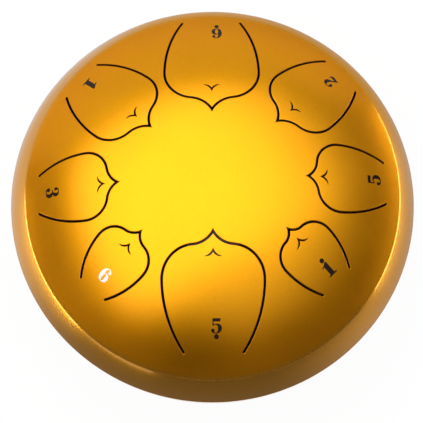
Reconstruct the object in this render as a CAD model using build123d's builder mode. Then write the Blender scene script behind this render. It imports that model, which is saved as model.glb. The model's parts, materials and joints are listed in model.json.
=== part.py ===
from build123d import *

import os
from math import acos, asin, atan2, cos, radians, sin, sqrt, tan
from typing import NamedTuple

# A steel tongue drum: a domed upper shell with eight tongues cut in it, welded at the equator to
# a bowl with a sound hole, on three rubber feet. Millimetres, +Z up, the feet stand on Z = 0,
# and the widest tongue lies towards -Y.

# Shells
DRUM_DIAMETER = 200.0
SHEET = 1.5
DOME_RADIUS = 140.0
DOME_RISE = 50.56
DOME_EDGE_DIAMETER = 182.0
EDGE_RADIUS = 8.0
SIDE_RADIUS = 45.0
BOWL_DEPTH = 46.0
BOWL_RADIUS = 60.0
KNUCKLE_RADIUS = 15.0
SOUND_HOLE_DIAMETER = 36.0

# Weld that fills the groove between the two rims
WELD_WIDTH = 2.0
WELD_DEPTH = 0.9
WELD_FIT = 0.05

# Slits that free the tongues, and the shape that all their outlines share
SLIT_WIDTH = 1.1
ROOT_GAP = 0.2
TIP_HALF_ANGLE = 30.0
WIDEST_SHARE = 0.40
ROUNDING_SHARE = 0.64

# Length of each tongue, and how far its root lies in from the rim
LOW_5_LENGTH = 53.6
LOW_5_INSET = 20.2
LOW_6_LENGTH = 53.0
LOW_6_INSET = 13.0
NOTE_1_LENGTH = 45.8
NOTE_1_INSET = 14.6
NOTE_2_LENGTH = 43.8
NOTE_2_INSET = 13.8
NOTE_3_LENGTH = 38.8
NOTE_3_INSET = 15.9
NOTE_5_LENGTH = 38.0
NOTE_5_INSET = 16.4
NOTE_6_LENGTH = 33.2
NOTE_6_INSET = 24.8
HIGH_1_LENGTH = 31.8
HIGH_1_INSET = 25.5
FRONT_SHIFT = 7.0

# Small chevron cut through each tongue behind its tip
CHEVRON_SPAN = 8.4
CHEVRON_DEPTH = 3.8
CHEVRON_THICKNESS = 1.9
CHEVRON_BOW = 0.8

# Feet and the bolts that hold them to the flat base
FOOT_COUNT = 3
FOOT_INSET = 14.6
FIRST_FOOT_AZIMUTH = 90.0
FOOT_HEIGHT = 8.0
FOOT_DIAMETER = 20.0
FOOT_TREAD_DIAMETER = 17.0
FOOT_WEB = 3.0
FOOT_ROUNDING = 0.8
RECESS_CLEARANCE = 0.6
BOLT_DIAMETER = 4.0
BOLT_CLEARANCE = 0.2
BOLT_END = 1.0
HEAD_DIAMETER = 8.0
HEAD_HEIGHT = 2.4
HEAD_ROUNDING = 1.0
WASHER_DIAMETER = 9.0
WASHER_THICKNESS = 0.8
NUT_WIDTH = 7.0
NUT_HEIGHT = 3.2
NUT_CHAMFER = 0.4
THREAD_FIT = 0.05


class Tongue(NamedTuple):
    """One tongue in plan, on an axis that runs outwards from its tip to its root."""

    name: str
    length: float
    inset: float
    azimuth: float
    spread: float
    taper: float
    mark: float
    side: int = 0


# Azimuth of the axis from +X, angle that the widest part fills at the centre, root width as a
# share of the greatest width, and place of the chevron as a share of the length. The side is the
# way that the two short front tongues are shifted, aside from the wide one between them.
TONGUES = (
    Tongue("low_5", LOW_5_LENGTH, LOW_5_INSET, azimuth=270, spread=54.0, taper=0.585, mark=0.178),
    Tongue("low_6", LOW_6_LENGTH, LOW_6_INSET, azimuth=90, spread=45.0, taper=0.63, mark=0.222),
    Tongue("1", NOTE_1_LENGTH, NOTE_1_INSET, azimuth=138.5, spread=37.0, taper=0.585, mark=0.222),
    Tongue("2", NOTE_2_LENGTH, NOTE_2_INSET, azimuth=42.5, spread=33.9, taper=0.595, mark=0.237),
    Tongue("3", NOTE_3_LENGTH, NOTE_3_INSET, azimuth=181, spread=30.6, taper=0.57, mark=0.197),
    Tongue("5", NOTE_5_LENGTH, NOTE_5_INSET, azimuth=2, spread=30.7, taper=0.62, mark=0.198),
    Tongue("6", NOTE_6_LENGTH, NOTE_6_INSET, azimuth=226, spread=29.6, taper=0.55, mark=0.26, side=-1),
    Tongue("high_1", HIGH_1_LENGTH, HIGH_1_INSET, azimuth=316, spread=29.6, taper=0.64, mark=0.231, side=1),
)

# Levels and profile centres
rim = DRUM_DIAMETER / 2
base_z = FOOT_HEIGHT
equator_z = base_z + BOWL_DEPTH
apex_z = equator_z + DOME_RISE
dome_z = apex_z - DOME_RADIUS
dome_end = acos(DOME_EDGE_DIAMETER / 2 / DOME_RADIUS)
edge_centre = Vector(0, dome_z) + Vector(cos(dome_end), sin(dome_end)) * (DOME_RADIUS - EDGE_RADIUS)
to_rim = Vector(rim, equator_z) - edge_centre
edge_to_side = SIDE_RADIUS - EDGE_RADIUS
along_rim = (edge_to_side**2 - SIDE_RADIUS**2 + to_rim.length**2) / (2 * to_rim.length)
inward = Vector(to_rim.Y, -to_rim.X).normalized() * sqrt(edge_to_side**2 - along_rim**2)
side_centre = edge_centre + to_rim.normalized() * along_rim + inward
edge_end = atan2(edge_centre.Y - side_centre.Y, edge_centre.X - side_centre.X)
bowl_r = rim - BOWL_RADIUS
knuckle_z = base_z + KNUCKLE_RADIUS
knuckle_r = bowl_r + sqrt((BOWL_RADIUS - KNUCKLE_RADIUS) ** 2 - (equator_z - knuckle_z) ** 2)
knuckle_tilt = atan2(equator_z - knuckle_z, knuckle_r - bowl_r)
foot_circle = knuckle_r - FOOT_INSET
bolt_hole = BOLT_DIAMETER / 2 + BOLT_CLEARANCE
foot_azimuths = [FIRST_FOOT_AZIMUTH + 360 / FOOT_COUNT * i for i in range(FOOT_COUNT)]

os.makedirs("parts", exist_ok=True)


def save(builder, name):
    """Label a finished piece and write it under the same name."""
    builder.part.label = name
    export_step(builder.part, f"parts/{name}.step")


def on_arc(centre, radius, tilt):
    """Point of a profile arc, by its tilt from the horizontal."""
    return (centre[0] + radius * cos(tilt), centre[1] + radius * sin(tilt))


def dome_arcs(inset):
    """Dome, edge and side of the upper profile, from the apex down to the equator."""
    dome = [(0, dome_z), DOME_RADIUS - inset]
    edge = [(edge_centre.X, edge_centre.Y), EDGE_RADIUS - inset]
    side = [(side_centre.X, side_centre.Y), SIDE_RADIUS - inset]
    side_end = asin((equator_z - side_centre.Y) / (SIDE_RADIUS - inset))
    start, joint = (0, apex_z - inset), on_arc(*dome, dome_end)
    turn, end = on_arc(*edge, edge_end), on_arc(*side, side_end)
    ThreePointArc(start, on_arc(*dome, (dome_end + radians(90)) / 2), joint)
    ThreePointArc(joint, on_arc(*edge, (dome_end + edge_end) / 2), turn)
    ThreePointArc(turn, on_arc(*side, (edge_end + side_end) / 2), end)
    return start, end


def bowl_arcs(inset):
    """Wall, knuckle and flat base of the lower profile, from the equator to the sound hole."""
    wall = [(bowl_r, equator_z), BOWL_RADIUS - inset]
    knuckle = [(knuckle_r, knuckle_z), KNUCKLE_RADIUS - inset]
    start, joint, foot = on_arc(*wall, 0), on_arc(*wall, -knuckle_tilt), on_arc(*knuckle, radians(-90))
    end = (SOUND_HOLE_DIAMETER / 2, base_z + inset)
    ThreePointArc(start, on_arc(*wall, -knuckle_tilt / 2), joint)
    ThreePointArc(joint, on_arc(*knuckle, -(knuckle_tilt + radians(90)) / 2), foot)
    Line(foot, end)
    return start, end


def weld_groove(fit):
    """Section of the weld bead, or with a fit of the groove that it fills."""
    root, mouth = rim - WELD_DEPTH - fit, rim + fit
    half = (mouth - root) * WELD_WIDTH / 2 / WELD_DEPTH
    with BuildLine() as section:
        Polyline((root, equator_z), (mouth, equator_z + half), (mouth, equator_z - half), close=True)
    make_face(section.edges())


def tip_distance(tongue):
    """Distance of a tongue's tip from the drum's centre, along the tongue's axis."""
    return rim - tongue.inset - tongue.length


def tongue_plane(tongue):
    """Level plane under a tongue's tip, with X along the tongue towards its root."""
    turn = radians(tongue.azimuth)
    along, left = Vector(cos(turn), sin(turn)), Vector(-sin(turn), cos(turn))
    origin = along * tip_distance(tongue) + left * tongue.side * FRONT_SHIFT + Vector(0, 0, equator_z)
    return Plane(origin=origin, x_dir=along, z_dir=(0, 0, 1))


def petal(tongue, growth, root):
    """Face of a tongue's petal, tip at the origin, grown all round and ended at the root."""
    across, along = sin(radians(TIP_HALF_ANGLE)), cos(radians(TIP_HALF_ANGLE))
    widest = WIDEST_SHARE * tongue.length
    half = (tip_distance(tongue) + widest) * tan(radians(tongue.spread / 2))
    narrowing = half * (1 - tongue.taper)
    flank = ((tongue.length - widest) ** 2 + narrowing**2) / (2 * narrowing)
    rounding = ROUNDING_SHARE * half
    hollow = (widest**2 + half**2 - 2 * half * rounding) / (
        2 * (half * along + rounding * (1 - along) - widest * across)
    )
    hollow_centre = Vector(-hollow * across, hollow * along)
    towards = (Vector(widest, half - rounding) - hollow_centre).normalized()
    start = Vector(hollow_centre.X + sqrt((hollow - growth) ** 2 - hollow_centre.Y**2), 0)
    bend = hollow_centre + towards * (hollow - growth)
    side = Vector(widest, half + growth)
    end = Vector(root, half - flank + sqrt((flank + growth) ** 2 - (root - widest) ** 2))
    with BuildLine() as outline:
        RadiusArc(start, bend, growth - hollow)
        RadiusArc(bend, side, rounding + growth)
        RadiusArc(side, end, flank + growth)
        Line(end, (root, 0))
        mirror(about=Plane.XZ)
    make_face(outline.edges())


def chevron(tongue):
    """Face of the chevron, a pair of arms that taper away from a point towards the tip."""
    nose = (tongue.mark * tongue.length - CHEVRON_DEPTH / 2, 0)
    notch = (nose[0] + CHEVRON_THICKNESS, 0)
    arm_end = (nose[0] + CHEVRON_DEPTH, CHEVRON_SPAN / 2)
    with BuildLine() as outline:
        SagittaArc(nose, arm_end, -CHEVRON_BOW)
        SagittaArc(notch, arm_end, -CHEVRON_BOW)
        mirror(about=Plane.XZ)
    make_face(outline.edges())


# Dome pressing before any cutting
with BuildPart() as pressing:
    with BuildSketch(Plane.XZ):
        with BuildLine():
            outer_top, outer_rim = dome_arcs(0)
            inner_top, inner_rim = dome_arcs(SHEET)
            Line(outer_top, inner_top)
            Line(outer_rim, inner_rim)
        make_face()
    revolve(axis=Axis.Z)
    with BuildSketch(Plane.XZ):
        weld_groove(WELD_FIT)
    revolve(axis=Axis.Z, mode=Mode.SUBTRACT)

# Upper shell, with a window round each tongue
with BuildPart() as upper_shell:
    add(pressing.part)
    for tongue in TONGUES:
        with BuildSketch(tongue_plane(tongue)):
            petal(tongue, SLIT_WIDTH / 2, tongue.length + ROOT_GAP / 2)
        extrude(amount=apex_z - equator_z, mode=Mode.SUBTRACT)
save(upper_shell, "upper_shell")

# Lower shell, with the sound hole and the bolt holes of the feet
with BuildPart() as lower_shell:
    with BuildSketch(Plane.XZ):
        with BuildLine():
            outer_rim, outer_hole = bowl_arcs(0)
            inner_rim, inner_hole = bowl_arcs(SHEET)
            Line(outer_rim, inner_rim)
            Line(outer_hole, inner_hole)
        make_face()
    revolve(axis=Axis.Z)
    with BuildSketch(Plane.XZ):
        weld_groove(WELD_FIT)
    revolve(axis=Axis.Z, mode=Mode.SUBTRACT)
    with Locations(Plane.XY.offset(base_z + SHEET)):
        with PolarLocations(foot_circle, FOOT_COUNT, FIRST_FOOT_AZIMUTH):
            Hole(bolt_hole, depth=SHEET)
save(lower_shell, "lower_shell")

# Weld bead, ground flush with the shells
with BuildPart() as seam_weld:
    with BuildSketch(Plane.XZ):
        weld_groove(0)
    revolve(axis=Axis.Z)
save(seam_weld, "seam_weld")

# Tongues, cut from the same pressing
for tongue in TONGUES:
    with BuildPart() as blade:
        with BuildSketch(tongue_plane(tongue)):
            petal(tongue, -SLIT_WIDTH / 2, tongue.length - ROOT_GAP / 2)
        extrude(amount=apex_z - equator_z)
        add(pressing.part, mode=Mode.INTERSECT)
        with BuildSketch(tongue_plane(tongue)):
            chevron(tongue)
        extrude(amount=apex_z - equator_z, mode=Mode.SUBTRACT)
    save(blade, f"tongue_{tongue.name}")

# Feet with their bolts: the head and its washer sit up inside the foot, the nut inside the bowl
seat_z = FOOT_HEIGHT - FOOT_WEB
head_z = seat_z - WASHER_THICKNESS - HEAD_HEIGHT
nut_z = base_z + SHEET
for number, azimuth in enumerate(foot_azimuths, start=1):
    place = Plane((foot_circle * cos(radians(azimuth)), foot_circle * sin(radians(azimuth)), 0))

    with BuildPart() as foot:
        with BuildSketch(place):
            Circle(FOOT_TREAD_DIAMETER / 2)
        with BuildSketch(place.offset(FOOT_HEIGHT)):
            Circle(FOOT_DIAMETER / 2)
        loft()
        fillet(foot.edges().group_by(Axis.Z)[0], FOOT_ROUNDING)
        with BuildSketch(place):
            Circle(WASHER_DIAMETER / 2 + RECESS_CLEARANCE)
        extrude(amount=seat_z, mode=Mode.SUBTRACT)
        with BuildSketch(place.offset(seat_z)):
            Circle(bolt_hole)
        extrude(amount=FOOT_WEB, mode=Mode.SUBTRACT)
    save(foot, f"foot_{number}")

    with BuildPart() as washer:
        with BuildSketch(place.offset(seat_z - WASHER_THICKNESS)):
            Circle(WASHER_DIAMETER / 2)
            Circle(bolt_hole, mode=Mode.SUBTRACT)
        extrude(amount=WASHER_THICKNESS)
    save(washer, f"foot_washer_{number}")

    with BuildPart() as screw:
        with BuildSketch(place.offset(head_z)):
            Circle(HEAD_DIAMETER / 2)
        extrude(amount=HEAD_HEIGHT)
        fillet(screw.edges().group_by(Axis.Z)[0], HEAD_ROUNDING)
        with BuildSketch(place.offset(head_z + HEAD_HEIGHT)):
            Circle(BOLT_DIAMETER / 2)
        extrude(amount=nut_z + NUT_HEIGHT + BOLT_END - head_z - HEAD_HEIGHT)
    save(screw, f"foot_screw_{number}")

    with BuildPart() as nut:
        with BuildSketch(place.offset(nut_z)):
            RegularPolygon(NUT_WIDTH / 2, 6, major_radius=False, rotation=azimuth)
            Circle(BOLT_DIAMETER / 2 + THREAD_FIT, mode=Mode.SUBTRACT)
        extrude(amount=NUT_HEIGHT)
        chamfer(nut.edges().filter_by(GeomType.LINE).group_by(Axis.Z)[-1], NUT_CHAMFER)
    save(nut, f"foot_nut_{number}")
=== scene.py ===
import json
from math import acos, asin, atan2, cos, pi, radians, sin, sqrt, tan
from typing import NamedTuple

import bmesh
import bpy
import numpy as np
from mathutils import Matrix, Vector
from mathutils.geometry import delaunay_2d_cdt

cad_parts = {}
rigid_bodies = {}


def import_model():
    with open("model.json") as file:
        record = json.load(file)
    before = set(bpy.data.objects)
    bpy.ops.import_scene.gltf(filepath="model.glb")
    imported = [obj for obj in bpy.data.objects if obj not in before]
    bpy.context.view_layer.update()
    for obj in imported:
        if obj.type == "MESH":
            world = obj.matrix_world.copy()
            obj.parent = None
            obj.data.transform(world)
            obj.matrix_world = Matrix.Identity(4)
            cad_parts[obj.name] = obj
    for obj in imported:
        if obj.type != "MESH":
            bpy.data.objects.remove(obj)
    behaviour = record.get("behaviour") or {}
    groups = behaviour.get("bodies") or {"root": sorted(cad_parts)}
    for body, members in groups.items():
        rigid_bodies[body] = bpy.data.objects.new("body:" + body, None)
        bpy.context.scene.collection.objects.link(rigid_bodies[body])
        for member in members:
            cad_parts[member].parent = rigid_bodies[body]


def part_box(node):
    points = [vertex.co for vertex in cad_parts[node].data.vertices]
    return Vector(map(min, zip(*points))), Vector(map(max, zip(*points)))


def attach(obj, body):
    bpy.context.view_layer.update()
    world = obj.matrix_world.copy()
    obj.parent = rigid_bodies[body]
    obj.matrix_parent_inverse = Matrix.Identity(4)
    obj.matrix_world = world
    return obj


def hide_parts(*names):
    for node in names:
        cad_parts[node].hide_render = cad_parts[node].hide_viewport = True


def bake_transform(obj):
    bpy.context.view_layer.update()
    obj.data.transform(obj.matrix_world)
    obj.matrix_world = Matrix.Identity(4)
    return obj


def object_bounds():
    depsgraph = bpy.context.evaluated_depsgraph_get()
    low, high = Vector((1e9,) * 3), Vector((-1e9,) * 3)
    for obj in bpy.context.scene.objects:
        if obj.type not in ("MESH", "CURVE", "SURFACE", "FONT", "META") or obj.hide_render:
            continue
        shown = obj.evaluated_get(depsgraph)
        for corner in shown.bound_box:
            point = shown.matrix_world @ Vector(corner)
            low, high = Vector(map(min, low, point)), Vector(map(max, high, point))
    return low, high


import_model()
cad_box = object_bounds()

bl_info = {
    "name": "Steel Tongue Drum",
    "version": (1, 0, 0),
    "blender": (4, 5, 0),
    "location": "3D View > Sidebar > Drum",
    "description": "Builds the shells, tongues, printed numbers, weld and feet of a steel tongue drum",
    "category": "Object",
}

# Metres, +Z up. The drum stands on Z = 0 and its widest tongue lies towards -Y.
bowl_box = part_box("lower_shell")
foot_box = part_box("foot_1")
drum_reach = (cad_box[1].x - cad_box[0].x) / 2
foot_reach = (foot_box[0].y + foot_box[1].y) / 2

# Feet, and the holes for their screws.
FOOT_COUNT = 3
FIRST_FOOT = pi / 2
SCREW_HOLE = 0.0022

# Groove that the weld fills: half its height at the mouth, and its depth.
GROOVE_HALF = 0.00105
GROOVE_DEPTH = 0.00095

# Distance between the points inside the plan, and how near they come to an outline.
FIELD_SPACING = 0.0021
FIELD_GAP = 0.6 * FIELD_SPACING

# Points of a turned piece that lie nearer to each other than this are one.
MERGE_DISTANCE = 1e-6


class Tongue(NamedTuple):
    """One tongue and the number printed on it. Its axis runs outwards from its tip to its root.

    Inset is the distance of the root from the rim. Azimuth is the way of the axis, and spread the
    angle that the widest place takes up, seen from the drum's axis, both in degrees. Taper is the
    width at the root as a share of the widest. Mark is the place of the chevron as a share of the
    length. Side is the way in which a front tongue is shifted. Dot is 1 for an octave dot above the
    number and -1 for one below it. Reach is the distance of the number's middle from the drum's axis
    along the tongue, and aside its distance from the tongue's axis.
    """

    name: str
    length: float
    inset: float
    azimuth: float
    spread: float
    taper: float
    mark: float
    side: int
    digit: str
    dot: int
    reach: float
    aside: float


TONGUES = (
    Tongue("low_5", 0.0536, 0.0202, 270, 54.0, 0.585, 0.178, 0, "5", -1, 0.0685, 0.0013),
    Tongue("low_6", 0.0530, 0.0130, 90, 45.0, 0.63, 0.222, 0, "6", -1, 0.0794, -0.0027),
    Tongue("1", 0.0458, 0.0146, 138.5, 37.0, 0.585, 0.222, 0, "1", 0, 0.0800, -0.0007),
    Tongue("2", 0.0438, 0.0138, 42.5, 33.9, 0.595, 0.237, 0, "2", 0, 0.0794, 0.0002),
    Tongue("3", 0.0388, 0.0159, 181, 30.6, 0.57, 0.197, 0, "3", 0, 0.0773, 0.0003),
    Tongue("5", 0.0380, 0.0164, 2, 30.7, 0.62, 0.198, 0, "5", 0, 0.0784, 0.0009),
    Tongue("6", 0.0332, 0.0248, 226, 29.6, 0.55, 0.26, -1, "6", 0, 0.0671, -0.0065),
    Tongue("high_1", 0.0318, 0.0255, 316, 29.6, 0.64, 0.231, 1, "1", 1, 0.0682, 0.0083),
)

# Outlines of the digits, one unit tall. A point with a third value is a corner.
DIGITS = {
    "1": [
        [(0.04, 0, 1), (0.04, 0.07, 1), (0.20, 0.11, 1), (0.20, 0.77, 1), (0.05, 0.73, 1), (0.05, 0.81, 1),
         (0.26, 0.89), (0.37, 1.0, 1), (0.53, 1.0, 1), (0.53, 0.11, 1), (0.70, 0.07, 1), (0.70, 0, 1)],
    ],
    "2": [
        [(0.05, 0.72), (0.16, 0.60), (0.27, 0.70), (0.23, 0.84), (0.33, 0.95), (0.43, 0.86), (0.43, 0.68),
         (0.33, 0.45), (0.15, 0.22), (0.03, 0, 1), (0.16, 0.05), (0.42, -0.01), (0.60, 0.03),
         (0.70, 0.29, 1), (0.66, 0.29, 1), (0.58, 0.19), (0.42, 0.20), (0.25, 0.24, 1), (0.46, 0.40),
         (0.66, 0.57), (0.71, 0.75), (0.60, 0.94), (0.36, 1.0), (0.14, 0.92)],
    ],
    "3": [
        [(0.06, 0.76), (0.17, 0.65), (0.28, 0.75), (0.24, 0.87), (0.33, 0.95), (0.41, 0.88), (0.41, 0.68),
         (0.35, 0.56), (0.22, 0.54, 1), (0.22, 0.49, 1), (0.36, 0.46), (0.44, 0.34), (0.43, 0.13),
         (0.34, 0.05), (0.25, 0.11), (0.29, 0.23), (0.17, 0.33), (0.04, 0.22), (0.10, 0.06), (0.34, 0),
         (0.60, 0.06), (0.71, 0.26), (0.65, 0.44), (0.52, 0.525, 1), (0.63, 0.60), (0.68, 0.76),
         (0.58, 0.94), (0.34, 1.0), (0.14, 0.93)],
    ],
    "5": [
        [(0.12, 1.0, 1), (0.64, 1.0, 1), (0.61, 0.79, 1), (0.19, 0.79, 1), (0.19, 0.60, 1), (0.42, 0.65),
         (0.64, 0.56), (0.72, 0.34), (0.62, 0.10), (0.36, 0), (0.12, 0.06), (0.03, 0.20), (0.14, 0.32),
         (0.26, 0.22), (0.24, 0.10), (0.34, 0.05), (0.43, 0.12), (0.46, 0.34), (0.41, 0.54), (0.28, 0.57),
         (0.16, 0.49, 1), (0.12, 0.50, 1)],
    ],
    "6": [
        [(0.67, 0.80), (0.57, 0.69), (0.46, 0.78), (0.49, 0.89), (0.42, 0.955), (0.33, 0.90), (0.285, 0.74),
         (0.28, 0.56, 1), (0.36, 0.62), (0.47, 0.63), (0.64, 0.54), (0.71, 0.32), (0.63, 0.09), (0.39, 0),
         (0.14, 0.09), (0.04, 0.36), (0.06, 0.68), (0.20, 0.92), (0.42, 1.0), (0.59, 0.94)],
        [(0.38, 0.045), (0.455, 0.14), (0.47, 0.32), (0.45, 0.50), (0.38, 0.565), (0.305, 0.50),
         (0.285, 0.30), (0.30, 0.13)],
    ],
}
DIGIT_MIDDLE = 0.37


def size(name, description, default):
    """Length property."""
    return bpy.props.FloatProperty(
        name=name, description=description, default=default, unit="LENGTH", precision=5
    )


def angle(name, description, degrees):
    """Angle property."""
    return bpy.props.FloatProperty(
        name=name, description=description, default=radians(degrees), subtype="ANGLE"
    )


def tint(name, description, default):
    """Colour property."""
    return bpy.props.FloatVectorProperty(
        name=name, description=description, default=default, subtype="COLOR", size=3, min=0, max=1
    )


def glow(name, description, default):
    """Brightness property."""
    return bpy.props.FloatProperty(name=name, description=description, default=default, min=0)


class DrumShape(bpy.types.PropertyGroup):
    """Sizes of the drum"""

    drum_radius: size("Drum Radius", "Radius of the drum at its weld", drum_reach)
    equator: size("Equator", "Height of the weld above the ground", bowl_box[1].z)
    base: size("Base", "Height of the flat base above the ground", bowl_box[0].z)
    sheet: size("Sheet", "Thickness of the steel", 0.0015)
    dome_radius: size("Dome Radius", "Radius of the dome", 0.140)
    dome_rise: size("Dome Rise", "Height of the dome's top above the weld", 0.05056)
    dome_reach: size("Dome Reach", "Distance from the axis at which the dome bends down", 0.091)
    bend_radius: size("Bend Radius", "Radius of the bend between dome and side", 0.008)
    side_radius: size("Side Radius", "Radius of the side between bend and weld", 0.045)
    bowl_radius: size("Bowl Radius", "Radius of the bowl's wall", 0.060)
    knuckle_radius: size("Knuckle Radius", "Radius of the bend between wall and base", 0.015)
    hole_radius: size("Sound Hole Radius", "Radius of the sound hole in the base", 0.018)
    slit: size("Slit", "Width of the slits round the tongues", 0.0011)
    edge: size("Edge", "Rounding of the painted edges of the slits", 0.00022)
    front_shift: size("Front Shift", "Sideways shift of the two short front tongues", 0.007)
    digit_height: size("Digit Height", "Height of the printed numbers", 0.0066)
    digit_width: size("Digit Width", "Width that a number would have if it were as wide as tall", 0.0074)
    digit_dot: size("Octave Dot", "Radius of the dot beside a number", 0.00112)
    print_height: size("Print Thickness", "Thickness of the printed numbers", 0.00004)
    foot_circle: size("Foot Circle", "Distance of the feet from the drum's axis", foot_reach)
    foot_height: size("Foot Height", "Height of the rubber feet", foot_box[1].z)


class DrumFinish(bpy.types.PropertyGroup):
    """Colours of the drum"""

    gold: tint("Gold", "Metallic paint", (0.95, 0.385, 0.006))
    # Redder gold towards the rim: painted shade, the darker and redder look of the paint where less light
    # falls
    outer_gold: tint(
        "Outer Gold", "Metallic paint towards the rim, where it lies thicker", (0.95, 0.335, 0.004)
    )
    # Dark inside colour: thin overspray, and painted shade that keeps the cavity and the lower slit walls
    # dark
    inside: tint("Inside", "Thin overspray inside the shells", (0.17, 0.085, 0.025))
    digit_ink: tint("Number", "Glossy print of the numbers", (0.010, 0.005, 0.002))
    rubber: tint("Rubber", "Feet", (0.022, 0.021, 0.021))
    zinc: tint("Zinc", "Screws, washers and nuts", (0.62, 0.63, 0.64))


class DrumStage(bpy.types.PropertyGroup):
    """Camera and studio"""

    azimuth: angle("Azimuth", "Turn of the camera from the front", -0.45)
    elevation: angle("Elevation", "Camera above the horizon", 76)
    distance: size("Distance", "Camera to the middle of the drum", 0.9)
    lens: bpy.props.FloatProperty(
        name="Lens", description="Focal length for a 36 mm sensor, in millimetres", default=154.04
    )
    softbox: glow("Softbox", "Brightness of the large softbox overhead", 2.15)
    back_wall: glow("Back Wall", "Brightness of the wall behind the drum", 0.55)
    strips: glow("Strips", "Brightness of the low strips at the sides", 5.0)
    glints: glow("Glints", "Brightness of the small lamps that the numbers mirror", 60.0)
    room: glow("Room", "Brightness of the room", 0.15)
    floor: tint("Floor", "Colour of the floor", (0.86, 0.86, 0.86))


class Wire:
    """Output of a node. Sums, products and the like of wires add Math nodes."""

    def __init__(self, wiring, socket):
        self.wiring = wiring
        self.socket = socket

    def maths(self, operation, *terms):
        """Math node on wires or numbers."""
        return self.wiring.node("ShaderNodeMath", {"operation": operation}, dict(enumerate(terms)))

    def __add__(self, other):
        return self.maths("ADD", self, other)

    def __radd__(self, other):
        return self.maths("ADD", other, self)

    def __sub__(self, other):
        return self.maths("SUBTRACT", self, other)

    def __rsub__(self, other):
        return self.maths("SUBTRACT", other, self)

    def __mul__(self, other):
        return self.maths("MULTIPLY", self, other)

    def __rmul__(self, other):
        return self.maths("MULTIPLY", other, self)

    def __truediv__(self, other):
        return self.maths("DIVIDE", self, other)

    def __rtruediv__(self, other):
        return self.maths("DIVIDE", other, self)

    def rise(self, low, high):
        """Smooth rise from 0 at low to 1 at high."""
        settings = {"interpolation_type": "SMOOTHSTEP"}
        inputs = {"Value": self, "From Min": low, "From Max": high}
        return self.wiring.node("ShaderNodeMapRange", settings, inputs)


class Wiring:
    """Node tree under construction."""

    def __init__(self, tree):
        self.tree = tree

    def node(self, kind, settings=None, inputs=None, output=0):
        """Add a node, its settings first, then the values or links of its sockets."""
        made = self.tree.nodes.new(kind)
        for key, value in (settings or {}).items():
            setattr(made, key, value)
        for key, value in (inputs or {}).items():
            if isinstance(value, Wire):
                self.tree.links.new(value.socket, made.inputs[key])
            else:
                made.inputs[key].default_value = value
        return Wire(self, made.outputs[output]) if len(made.outputs) else made

    def attribute(self, name):
        """Value that the mesh carries under a name."""
        return self.node("ShaderNodeAttribute", {"attribute_name": name}, output="Fac")

    def blend(self, factor, first, second):
        """Mix of two colours."""
        colours = {0: factor, 6: first, 7: second}
        return self.node("ShaderNodeMix", {"data_type": "RGBA"}, colours, output=2)

    def noise(self, place, scale, detail=2.0, roughness=0.5):
        """Soft noise round 0.5."""
        inputs = {"Vector": place, "Scale": scale, "Detail": detail, "Roughness": roughness}
        return self.node("ShaderNodeTexNoise", None, inputs)

    def bump(self, height, strength, distance=0.0002):
        """Normal of a surface that a height makes uneven."""
        inputs = {"Height": height, "Strength": strength, "Distance": distance}
        return self.node("ShaderNodeBump", None, inputs)

    def length(self, vector):
        """Length of a vector."""
        return self.node("ShaderNodeVectorMath", {"operation": "LENGTH"}, {0: vector}, output="Value")

    def dot(self, first, second):
        """Dot product of two vectors."""
        inputs = {0: first, 1: second}
        return self.node("ShaderNodeVectorMath", {"operation": "DOT_PRODUCT"}, inputs, output="Value")


def opaque(colour, factor=1.0):
    """Colour with its alpha, made lighter or darker by a factor."""
    return tuple(min(1.0, part * factor) for part in colour) + (1.0,)


def grey(level):
    """Grey with its alpha, from 0 for black to 1 for white."""
    return opaque((level, level, level))


def put(name, data):
    """Object made of a mesh, a light or a camera, in the scene."""
    made = bpy.data.objects.new(name, data)
    bpy.context.scene.collection.objects.link(made)
    return made


def blank_material(name):
    """New material with no nodes, and its wiring."""
    material = bpy.data.materials.new(name)
    material.use_nodes = True
    material.node_tree.nodes.clear()
    return material, Wiring(material.node_tree)


def finish(name, surface):
    """Material whose look comes from surface, a function of its wiring that gives the shader's inputs."""
    material, wiring = blank_material(name)
    shader = wiring.node("ShaderNodeBsdfPrincipled", None, surface(wiring))
    wiring.node("ShaderNodeOutputMaterial", None, {"Surface": shader})
    return material


def object_place(wiring):
    """Place on the surface, in the drum's own frame."""
    return wiring.node("ShaderNodeTexCoord", output="Object")


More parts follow.
